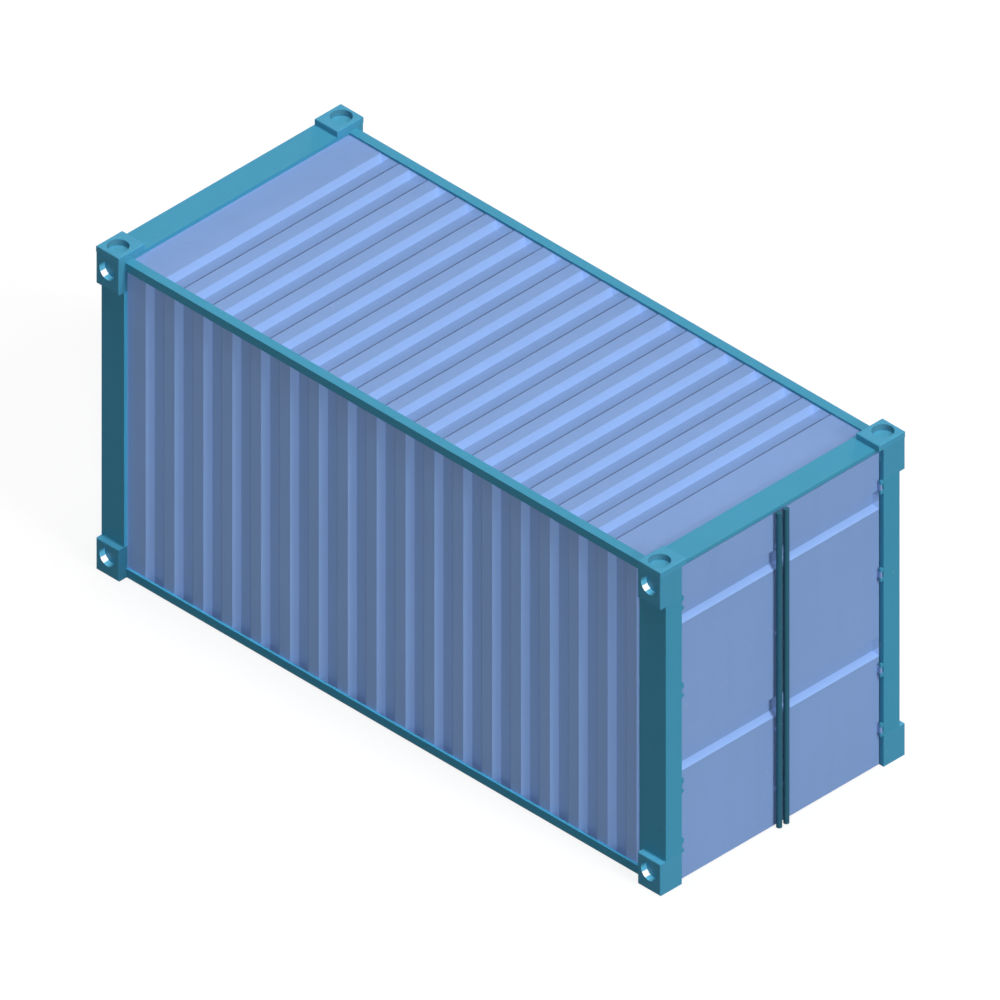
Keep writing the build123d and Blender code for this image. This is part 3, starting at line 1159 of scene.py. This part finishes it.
@dataclass
class CornerCastings:
    """The eight castings and the plates on the top four, with the welds that hold the posts."""

    layout: Layout
    well_radius: float = 84 * MM
    well_edge: float = 1 * MM
    socket_radius: float = 79 * MM
    socket_depth: float = 53 * MM
    socket_rise: float = 164 * MM
    weld: float = 6.5 * MM
    sunk: float = 7.5 * MM
    ledge_gain: float = 1.32
    top_gain: float = 0.95

    def wear(self) -> SocketWear:
        """Work out where the side sockets are.

        Returns:
            Their painted highlight, for the finish.
        """
        place = self.layout
        return SocketWear(
            middle_x=place.middle_x,
            reach_x=place.casting_reach,
            low_z=self.socket_rise,
            high_z=place.head_z + self.socket_rise,
            radius=self.socket_radius,
            floor_y=place.outer_y - self.socket_depth + PLANE_REACH,
        )

    def well(self, coat: Coat, bed: float) -> WellTone:
        """Work out where the wells in the top are: the caps' holes over the castings' tops.

        Args:
            coat: the colour painted inside them, which stands in for their light and shade.
            bed: how far above the castings' tops it starts.

        Returns:
            The tone of the four wells.
        """
        low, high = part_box("casting_caps")
        place = self.layout
        return WellTone(
            middle_x=place.middle_x,
            reach=(place.casting_reach, (place.inner_y + place.outer_y) / 2),
            radius=self.well_radius + self.well_edge,
            low_z=low.z + bed,
            high_z=high.z - self.well_edge,
            coat=coat,
        )

    def post_rings(self) -> List[Seam]:
        """Follow the posts' outlines where they meet the castings below and above them.

        Returns:
            Two welds to each post.
        """
        place = self.layout
        seams = []
        for x_low, x_high in ((place.rear_x, place.body_x), (place.casting_x, place.door_x)):
            for side in Side:
                low = (x_low + self.sunk, (place.inner_y + self.sunk) * side.value)
                high = (x_high - self.sunk, place.post_y * side.value)
                for z in (place.foot_z, place.head_z):
                    seams.append(Seam.ring(Axis.Z, z, low, high, self.weld))
        return seams

    def build(self, shop: Workshop) -> None:
        """Paint the castings and weld the posts to them.

        Args:
            shop: the workshop.
        """
        # Painted light: lighter lower ledges of the castings and lighter well floors, and a painted
        # highlight that glows on the side sockets.
        ledge_light = FoldTone.on_plane(Axis.Z, self.layout.foot_z, self.ledge_gain)
        well_floor_light, wear = self.well(Coat.WELL_FLOOR, -self.well_edge), self.wear()
        enamel = CastingFinish("casting_enamel", Coat.CASTING, (ledge_light,), well_floor_light, wear=wear)
        for end in ("rear", "door"):
            blocks = [f"casting_{end}_{{}}_{level}" for level in ("bottom", "top")]
            shop.paint(on_both_sides(*blocks), enamel)
        # Painted shade: darker caps' tops and darker, greyer well walls.
        top = FoldTone.on_plane(Axis.Z, self.layout.cap_z, self.top_gain)
        well_wall_shade = self.well(Coat.WELL_WALL, self.well_edge)
        shop.paint(["casting_caps"], PaintFinish("cap_enamel", Coat.CAP, (top,), well_wall_shade))
        shop.welds("post_welds", self.post_rings(), FRAME_PAINT, Slot.FRAME)


@dataclass
class SteelFrame:
    """Posts, rails, headers and sills, and the welds between them and the castings."""

    layout: Layout
    sunk: float = 2.5 * MM
    flush_sunk: float = 5.3 * MM
    strip_gain: float = 1.9
    lip_gain: float = 1.8

    def header_rings(self) -> List[Seam]:
        """Follow both ends of each header, against the castings' inner faces.

        Returns:
            Two welds to each header.
        """
        seams = []
        for node in ("rear_header", "door_header"):
            low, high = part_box(node)
            back = low.x + self.flush_sunk
            if node == "door_header":
                back = max(low.x, self.layout.casting_x) + self.sunk
            corner = (high.x - self.sunk, high.z - self.sunk)
            for side in Side:
                y = self.layout.inner_y * side.value
                seams.append(Seam.ring(Axis.Y, y, (back, low.z), corner))
        return seams

    def rail_rings(self) -> List[Seam]:
        """Follow both ends of each side rail, against the castings' facing ends.

        Returns:
            Two welds to each rail, open at the top on the bottom rails.
        """
        seams = []
        for node in on_both_sides("top_rail_{}", "bottom_rail_{}"):
            low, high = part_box(node)
            for x in (low.x, high.x):
                ring = Seam.ring(Axis.X, x, (low.y, low.z), (high.y, high.z))
                corners = np.roll(ring.corners, 1, axis=0)
                seams.append(replace(ring, corners=corners, closed="top" in node))
        return seams

    def lip_height(self) -> float:
        """Measure the bottom rails' outer leg, whose top edge gets a painted highlight.

        Returns:
            The height of its top.
        """
        points = node_points("bottom_rail_left")
        outer = points[:, 1] < points[:, 1].min() + CLOSE
        return float(points[outer, 2].max())

    def build(self, shop: Workshop) -> None:
        """Paint the frame and weld its joints.

        Args:
            shop: the workshop.
        """
        wall_y, body_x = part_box("side_sheet_right")[1].y, self.layout.body_x
        # Painted light: a lighter strip on the rear posts' faces towards the doors, outside the
        # side walls, and a painted highlight along the bottom rails' top edge.
        strip_light = OuterTone.on_plane(Axis.X, body_x, self.strip_gain, wall_y=wall_y)
        lip_highlight = FoldTone.on_plane(Axis.Z, self.lip_height(), self.lip_gain)
        post_paint = replace(FRAME_PAINT, name="rear_post_enamel", folds=(strip_light,))
        rail_paint = replace(FRAME_PAINT, name="bottom_rail_enamel", folds=(lip_highlight,))
        shop.paint(on_both_sides("rear_post_{}"), post_paint)
        shop.paint(on_both_sides("bottom_rail_{}"), rail_paint)
        shop.paint(on_both_sides("door_post_{}", "top_rail_{}"), FRAME_PAINT)
        shop.paint(["rear_header", "door_header", "rear_sill", "door_sill"], FRAME_PAINT)
        shop.paint(["door_post_channels"], FRAME_PAINT)
        shop.welds("frame_welds", self.header_rings() + self.rail_rings(), FRAME_PAINT, Slot.FRAME)


@dataclass
class PressedWalls:
    """The side, rear and roof sheets, with the beads that close their edges.

    The side and roof waves are given from the rear posts, and then moved to their places.
    """

    layout: Layout
    side_wave: Wave = Wave(184 * MM, 297.8 * MM, 18, 46 * MM, 93.8 * MM, 46 * MM)
    roof_wave: Wave = Wave(322 * MM, 297 * MM, 16, 45 * MM, 90 * MM, 51 * MM)
    rear_wave: Wave = field(init=False)
    rear_margin: float = 150 * MM
    weld: float = 4 * MM
    dip_ends: DipEnds = DipEnds((Axis.X, Axis.Z, Axis.Y), 34 * MM)
    # Painted light on the falls, more on the last fall beside the door posts where they shade it,
    # painted shade along each crease, and painted light carried onto the dips' end plates.
    fall_gain: float = 1.28
    line_gain: float = 0.8
    last_fall_gain: float = 1.2
    roof_fall_gain: float = 1.12
    roof_line_gain: float = 0.12
    end_gain: float = 1.3

    def __post_init__(self) -> None:
        """Move the waves to their places. The rear wave has the side wave's folds, centred."""
        side = self.side_wave
        count = int((2 * (self.layout.inner_y - self.rear_margin)) / side.pitch)
        high_flat = side.pitch - side.low_flat - 2 * side.depth
        start = -(count * side.pitch - high_flat) / 2
        self.rear_wave = replace(side, first=start, count=count)
        self.side_wave = replace(side, first=self.layout.body_x + side.first)
        roof_start = self.layout.body_x + self.roof_wave.first
        self.roof_wave = replace(self.roof_wave, first=roof_start)

    def side_seams(self) -> List[Seam]:
        """Follow the side sheets' edges.

        Returns:
            Beads under the top rails along the folds, and up both ends of the sheets.
        """
        seams = []
        for side in Side:
            low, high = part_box(f"side_sheet_{side.word}")
            outer = high.y if side is Side.RIGHT else -low.y
            x, inward = self.side_wave.corners(low.x, high.x).T
            y = (outer - inward) * side.value
            seams.append(Seam(path(x, y, high.z), Axis.Z, self.weld))
            for end in (0, -1):
                upright = path(x[end], y[end], (low.z, high.z))
                seams.append(Seam(upright, Axis.X, self.weld))
        return seams

    def roof_seams(self) -> List[Seam]:
        """Follow the roof sheet's edges.

        Returns:
            Beads along the folds at the top rails, and across at the headers.
        """
        low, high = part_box("roof_sheet")
        x, inward = self.roof_wave.corners(low.x, high.x).T
        lines = [(path(x, y, high.z - inward), Axis.Y) for y in (low.y, high.y)]
        lines += [(path(end, (low.y, high.y), high.z), Axis.X) for end in (low.x, high.x)]
        return [Seam(line, across, self.weld) for line, across in lines]

    def rear_seams(self) -> List[Seam]:
        """Follow the rear sheet's edges.

        Returns:
            Beads under the rear header along the folds, and up both rear posts.
        """
        low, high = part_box("rear_sheet")
        y, inward = self.rear_wave.corners(low.y, high.y).T
        lines = [(path(low.x + inward, y, high.z), Axis.Z)]
        lines += [(path(low.x, end, (low.z, high.z)), Axis.Y) for end in (low.y, high.y)]
        return [Seam(line, across, self.weld) for line, across in lines]

    def build(self, shop: Workshop) -> None:
        """Paint the sheets and close their edges.

        Args:
            shop: the workshop.
        """
        side, roof = self.side_wave, self.roof_wave
        # Painted light on the falls and painted shade along the creases.
        last = replace(side, first=side.starts[-1], count=1)
        side_tones = (
            side.fall_tone(Axis.X, self.fall_gain),
            side.line_tone(Axis.X, self.line_gain),
            last.fall_tone(Axis.X, self.last_fall_gain),
        )
        roof_tones = (
            roof.fall_tone(Axis.X, self.roof_fall_gain),
            roof.line_tone(Axis.X, self.roof_line_gain),
        )
        side_paint = PaintFinish("side_wall_enamel", Coat.SIDE_WALL, side_tones)
        roof_paint = PaintFinish("roof_enamel", Coat.ROOF, roof_tones)
        rear_paint = PaintFinish("rear_wall_enamel", Coat.REAR_WALL)
        shop.paint(on_both_sides("side_sheet_{}"), side_paint)
        shop.paint(["roof_sheet"], roof_paint)
        shop.paint(["rear_sheet"], rear_paint)
        shop.welds("side_wall_welds", self.side_seams(), side_paint, Slot.PANEL)
        shop.welds("roof_welds", self.roof_seams(), roof_paint, Slot.PANEL)
        low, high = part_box("roof_sheet")
        # Painted light: the falls' light carried on across the dips' end plates, which are a
        # lighter blue.
        end_tone = roof.end_tone(Axis.X, self.end_gain, Axis.Z, high.z)
        end_paint = PaintFinish("roof_end_enamel", Coat.DIP_END, (end_tone,))
        plates = self.dip_ends.wedges(roof, high.z, low.y, high.y)
        shop.piece("roof_dip_ends", plates, end_paint, Slot.PANEL, smooth=False)
        shop.welds("rear_wall_welds", self.rear_seams(), rear_paint, Slot.PANEL)


@dataclass
class CargoFloor:
    """Plywood boards screwed down to the cross members."""

    boards: int = 5
    screws_across: int = 9
    screw_offset: float = 22 * MM
    edge: float = 45 * MM
    head: Profile = (
        (0.0, 0.1 * MM),
        (2.4 * MM, 0.1 * MM),
        (2.9 * MM, 1.0 * MM),
        (6.4 * MM, 0.8 * MM),
        (7.5 * MM, 0.0),
        (0.0, -1.0 * MM),
    )

    def screw_places(self) -> np.ndarray:
        """Set out the screws, one row over each member's flange, in even steps along Y.

        Returns:
            The heads' places on the boards' top.
        """
        low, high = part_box("floor_boards")
        points = node_points("cross_members")
        on_top = np.abs(points[:, 2] - points[:, 2].max()) < CLOSE
        x = pairs(points[on_top, 0], digits=4)[:, 0] + self.screw_offset
        x = x[(x > low.x + self.screw_offset) & (x < high.x - self.screw_offset)]
        y = np.linspace(low.y + self.edge, high.y - self.edge, self.screws_across)
        grid_x, grid_y = np.meshgrid(x, y, indexing="ij")
        return path(grid_x.ravel(), grid_y.ravel(), high.z)

    def build(self, shop: Workshop) -> None:
        """Finish the boards and members and set the screws.

        Args:
            shop: the workshop.
        """
        low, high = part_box("floor_boards")
        plywood = PlywoodFinish("floor_plywood", low.x, (high.x - low.x) / self.boards)
        shop.paint(["floor_boards"], plywood)
        shop.paint(["cross_members"], FRAME_PAINT)
        heads = turned_heads(self.head, self.screw_places(), Axis.Z)
        shop.piece("floor_screws", heads, PLATED_STEEL, Slot.STEEL)


@dataclass
class DoorLeaf:
    """One door leaf: its pressed sheet, frame, gasket, hinge blades and rod brackets."""

    layout: Layout
    side: Side
    grooves: Wave = Wave(978 * MM, 1316 * MM, 2, 41 * MM, 94 * MM, 41 * MM)
    groove_gain: float = 1.28
    end_gain: float = 1.3
    groove_ends: DipEnds = DipEnds((Axis.Z, Axis.X, Axis.Y), 30 * MM)
    rod_radius: float = 23 * MM
    weld: float = 2.2 * MM
    rivet_step: float = 140 * MM
    rivet_inset: float = 22 * MM
    gasket_lip: Profile = (
        (0.0, 1.0),
        (0.3, 1.0),
        (0.3, 0.8),
        (0.7, 0.78),
        (0.9, 0.7),
        (0.75, 0.58),
        (0.28, 0.45),
        (0.35, 0.28),
        (0.85, 0.25),
        (1.0, 0.14),
        (0.8, 0.04),
        (0.35, 0.0),
        (0.0, 0.0),
    )
    rivet: Profile = (
        (0.0, 2.4 * MM),
        (2.4 * MM, 2.1 * MM),
        (4.2 * MM, 1.2 * MM),
        (5.0 * MM, 0.0),
        (0.0, -1.0 * MM),
    )

    @property
    def body(self) -> str:
        """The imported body's name."""
        return f"door_{self.side.word}"

    def node(self, piece: str) -> str:
        """The full name of one of the leaf's nodes."""
        return f"{self.body}_{piece}"

    def gasket(self) -> Shape:
        """The gasket's lips, carried up the hinge side, over the top and down the seam side.

        Point (i, j) is corner(i) + out(j) * reach(i) + deep(j) * depth along X, where corner runs
        round the leaf's edge and reach is how far the rubber stands out of it at that corner.

        Returns:
            The gasket.
        """
        low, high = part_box(self.node("seal"))
        leaf_low, leaf_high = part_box(self.node("sheet"))
        edges = (leaf_low.y, leaf_low.y, leaf_high.y, leaf_high.y)
        corners = path(low.x, edges, (low.z, leaf_high.z, leaf_high.z, low.z))
        left, right, up = low.y - leaf_low.y, high.y - leaf_high.y, high.z - leaf_high.z
        reach = path(0.0, (left, left, right, right), (0.0, up, up, 0.0))
        out, deep = np.array(self.gasket_lip).T[..., None]
        section = deep * (high.x - low.x) * Axis.X.unit
        rings = corners[:, None, :] + out * reach[:, None, :] + section
        return tube(rings, rings[[0, -1]].mean(axis=1))

    def rivet_places(self) -> np.ndarray:
        """Set out the rivets round the leaf's back face, in even steps.

        Returns:
            Their places up both edges and along the top.
        """
        low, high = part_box(self.node("stiles"))
        inset, step = self.rivet_inset, self.rivet_step
        left, right, top = low.y + inset, high.y - inset, high.z - inset
        z = np.arange(low.z + 2 * inset, top, step)
        y = np.arange(left + step, high.y - step, step)
        return np.vstack([path(low.x, left, z), path(low.x, right, z), path(low.x, y, top)])

    def foot_rings(self) -> List[Seam]:
        """Find where the rod brackets and the hinge blades stand on the face sheet.

        Returns:
            A small weld round each foot.
        """
        low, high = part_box(self.node("sheet"))
        seams = []
        for piece in ("rod_brackets", "hinge_blades"):
            points = node_points(self.node(piece))
            on_face = points[np.abs(points[:, 0] - high.x) < CLOSE]
            y0, y1 = max(on_face[:, 1].min(), low.y), min(on_face[:, 1].max(), high.y)
            for z0, z1 in pairs(on_face[:, 2]):
                seams.append(Seam.ring(Axis.X, high.x, (y0, z0), (y1, z1), self.weld))
        return seams

    def build(self, shop: Workshop) -> None:
        """Paint the leaf and add its gasket, rivets, groove ends and small welds.

        Args:
            shop: the workshop.
        """
        place, grooves = self.layout, self.grooves
        # Painted light on the grooves' falls, carried on across their end plates, which are a
        # lighter blue.
        falls = grooves.fall_tone(Axis.Z, self.groove_gain)
        ends = grooves.end_tone(Axis.Z, self.end_gain, Axis.X, place.leaf_x)
        door_paint = PaintFinish("door_enamel", Coat.DOOR, (falls,))
        end_paint = PaintFinish("groove_end_enamel", Coat.DIP_END, (ends,))
        line_x = place.rod_x - self.rod_radius
        bracket_paint = MaskedFinish("bracket_enamel", Coat.DOOR, line_x=line_x)
        frame_nodes = [self.node(piece) for piece in ("stiles", "rails", "hinge_blades")]
        shop.paint([self.node("sheet")], door_paint)
        shop.paint(frame_nodes, LEAF_PAINT)
        shop.paint([self.node("rod_brackets")], bracket_paint)
        shop.paint([self.node("seal")], RUBBER)
        lips = self.gasket()
        gasket = shop.piece(self.node("gasket"), lips, RUBBER, Slot.RUBBER, self.body, False)
        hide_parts(self.node("seal"))
        rivets = turned_heads(self.rivet, self.rivet_places(), Axis.X, -1.0)
        shop.piece(self.node("rivets"), rivets, PLATED_STEEL, Slot.STEEL, self.body)
        low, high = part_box(self.node("sheet"))
        plates = self.groove_ends.wedges(grooves, high.x, low.y, high.y)
        shop.piece(self.node("groove_ends"), plates, end_paint, Slot.PANEL, self.body, False)
        shop.welds(self.node("welds"), self.foot_rings(), door_paint, Slot.PANEL, self.body)


@dataclass
class Ironmongery:
    """The hinges' fixed lugs and pins, and the two turning lock rods."""

    layout: Layout
    weld: float = 2.2 * MM

    def lug_rings(self) -> List[Seam]:
        """Find where the hinge lugs stand on the posts' inner faces.

        Returns:
            A small weld round each lug.
        """
        points = node_points("hinge_lugs")
        seams = []
        for side in Side:
            y = self.layout.inner_y * side.value
            on_post = points[np.abs(points[:, 1] - y) < CLOSE]
            x0, x1 = on_post[:, 0].min(), on_post[:, 0].max()
            for z0, z1 in pairs(on_post[:, 2]):
                seams.append(Seam.ring(Axis.Y, y, (x0, z0), (x1, z1), self.weld))
        return seams

    def build(self, shop: Workshop) -> None:
        """Paint the hinges and rods and weld the lugs.

        Args:
            shop: the workshop.
        """
        shop.paint(["hinge_lugs", "hinge_pins"], FRAME_PAINT)
        shop.paint(on_both_sides("lock_rod_{}"), ROD_PAINT)
        shop.welds("hinge_lug_welds", self.lug_rings(), FRAME_PAINT, Slot.FRAME)


# The studio


@dataclass(frozen=True)
class Lamp:
    """A distant soft lamp: where its light comes from, how bright it is and how wide it looks."""

    name: str
    origin: Triple
    level: float
    width: float

    def hang(self) -> None:
        """Put the lamp in the scene. A level of 1 lights a surface that faces it at full colour."""
        data = bpy.data.lights.new(self.name, "SUN")
        data.energy = self.level * math.pi
        data.angle = math.radians(self.width)
        lamp = add_object(self.name, data)
        lamp.rotation_mode = "QUATERNION"
        lamp.rotation_quaternion = Vector(self.origin).to_track_quat("Z", "Y")


@dataclass
class Studio:
    """White surroundings, soft lamps, and a camera without perspective at the picture's angle."""

    azimuth: float = 45.0
    elevation: float = 35.5
    span: float = 7.293
    image_size: float = 1000.0
    corner_pixel: Pair = (660.3, 896.5)
    distance: float = 20.0
    floor_reach: float = 60.0
    floor_albedo: float = 0.2
    floor_level: float = 1.02
    air_level: float = 0.07
    mirrored: float = 0.35
    lamps: Tuple[Lamp, ...] = (
        Lamp("overhead", (0.0, 0.0, 1.0), 0.475, 30.0),
        Lamp("near_picture", (0.576, -0.576, 0.581), 0.238, 8.0),
        Lamp("door_end", (0.707, 0.0, 0.707), 0.33, 16.0),
        Lamp("low_door_end", (0.93, 0.06, 0.363), 0.31, 10.0),
        Lamp("far_fill", (-0.6, 0.79, 0.04), 0.38, 14.0),
    )

    def seen_directly(self, graph: Graph) -> Wire:
        """Tell what the eye sees straight from what it sees in a reflection.

        Args:
            graph: the graph of the material or the world.

        Returns:
            One for rays that reach the eye straight, and less for those that are mirrored.
        """
        camera = graph.node("ShaderNodeLightPath", {}, {}, "Is Camera Ray")
        outputs = camera.socket.node.outputs
        glossy = Wire(graph, outputs["Is Glossy Ray"])
        through = Wire(graph, outputs["Is Transmission Ray"])
        return graph.math("MINIMUM", camera + glossy * self.mirrored + through, 1.0)

    def surroundings(self) -> None:
        """White where the eye sees it, and a low even light on the object."""
        world = bpy.data.worlds.new("surroundings")
        bpy.context.scene.world = world
        world.use_nodes = True
        graph = Graph(world.node_tree)
        level = self.air_level + self.seen_directly(graph) * (1.0 - self.air_level)
        white = graph.node("ShaderNodeBackground", {}, {"Color": WHITE, "Strength": level})
        graph.node("ShaderNodeOutputWorld", {}, {"Surface": white})

    def ground(self) -> None:
        """A pale floor that keeps the object's shadow and fades into the white around it."""
        reach = self.floor_reach
        mesh = bpy.data.meshes.new("studio_floor")
        square = [(-reach, -reach, 0), (reach, -reach, 0), (reach, reach, 0), (-reach, reach, 0)]
        mesh.from_pydata(square, [], [(0, 1, 2, 3)])
        graph, material = Graph.of_material("studio_floor")
        glow = self.seen_directly(graph) * (self.floor_level - self.floor_albedo)
        albedo = (self.floor_albedo,) * 3 + (1.0,)
        matt = graph.node("ShaderNodeBsdfDiffuse", {}, {"Color": albedo})
        light = graph.node("ShaderNodeEmission", {}, {"Color": WHITE, "Strength": glow})
        both = graph.node("ShaderNodeAddShader", {}, {0: matt, 1: light})
        graph.node("ShaderNodeOutputMaterial", {}, {"Surface": both})
        mesh.materials.append(material)
        ground = add_object("studio_floor", mesh)

    def camera(self, layout: Layout) -> None:
        """Aim the camera so that the near foot of the door end falls on its pixel of the picture.

        The picture's right is (cos a, sin a, 0) and its up is (-sin a sin e, cos a sin e, cos e),
        for azimuth a and elevation e, and the centre lies back from the corner by its pixel offset.

        Args:
            layout: the container's layout.
        """
        a, e = math.radians(self.azimuth), math.radians(self.elevation)
        right = Vector((math.cos(a), math.sin(a), 0.0))
        up = Vector((-math.sin(a) * math.sin(e), math.cos(a) * math.sin(e), math.cos(e)))
        back = right.cross(up)
        metres = self.span / self.image_size
        shift_right, shift_down = (
            (pixel - self.image_size / 2) * metres for pixel in self.corner_pixel
        )
        corner = Vector((layout.door_x, -layout.outer_y, 0.0))
        centre = corner - right * shift_right + up * shift_down
        data = bpy.data.cameras.new("camera")
        data.type = "ORTHO"
        data.ortho_scale = self.span
        data.clip_end = 4 * self.distance
        camera = add_object("camera", data)
        turn = Matrix((right, up, back)).transposed().to_4x4()
        camera.matrix_world = Matrix.Translation(centre + back * self.distance) @ turn
        bpy.context.scene.camera = camera

    def build(self, layout: Layout) -> None:
        """Set up the whole studio.

        Args:
            layout: the container's layout.
        """
        bpy.context.scene.view_settings.view_transform = "Standard"
        self.surroundings()
        self.ground()
        for lamp in self.lamps:
            lamp.hang()
        self.camera(layout)
        log.info("hung %d lamps and set the camera", len(self.lamps))


def main() -> None:
    """Build every sub-assembly in order, then the studio."""
    logging.basicConfig(level=logging.INFO, format="%(name)s: %(message)s")
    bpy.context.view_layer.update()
    layout = Layout.measured()
    shop = Workshop()
    for assembly in (
        CornerCastings(layout),
        SteelFrame(layout),
        PressedWalls(layout),
        CargoFloor(),
        DoorLeaf(layout, Side.LEFT),
        DoorLeaf(layout, Side.RIGHT),
        Ironmongery(layout),
    ):
        assembly.build(shop)
    Studio().build(layout)


if __name__ == "__main__":
    main()
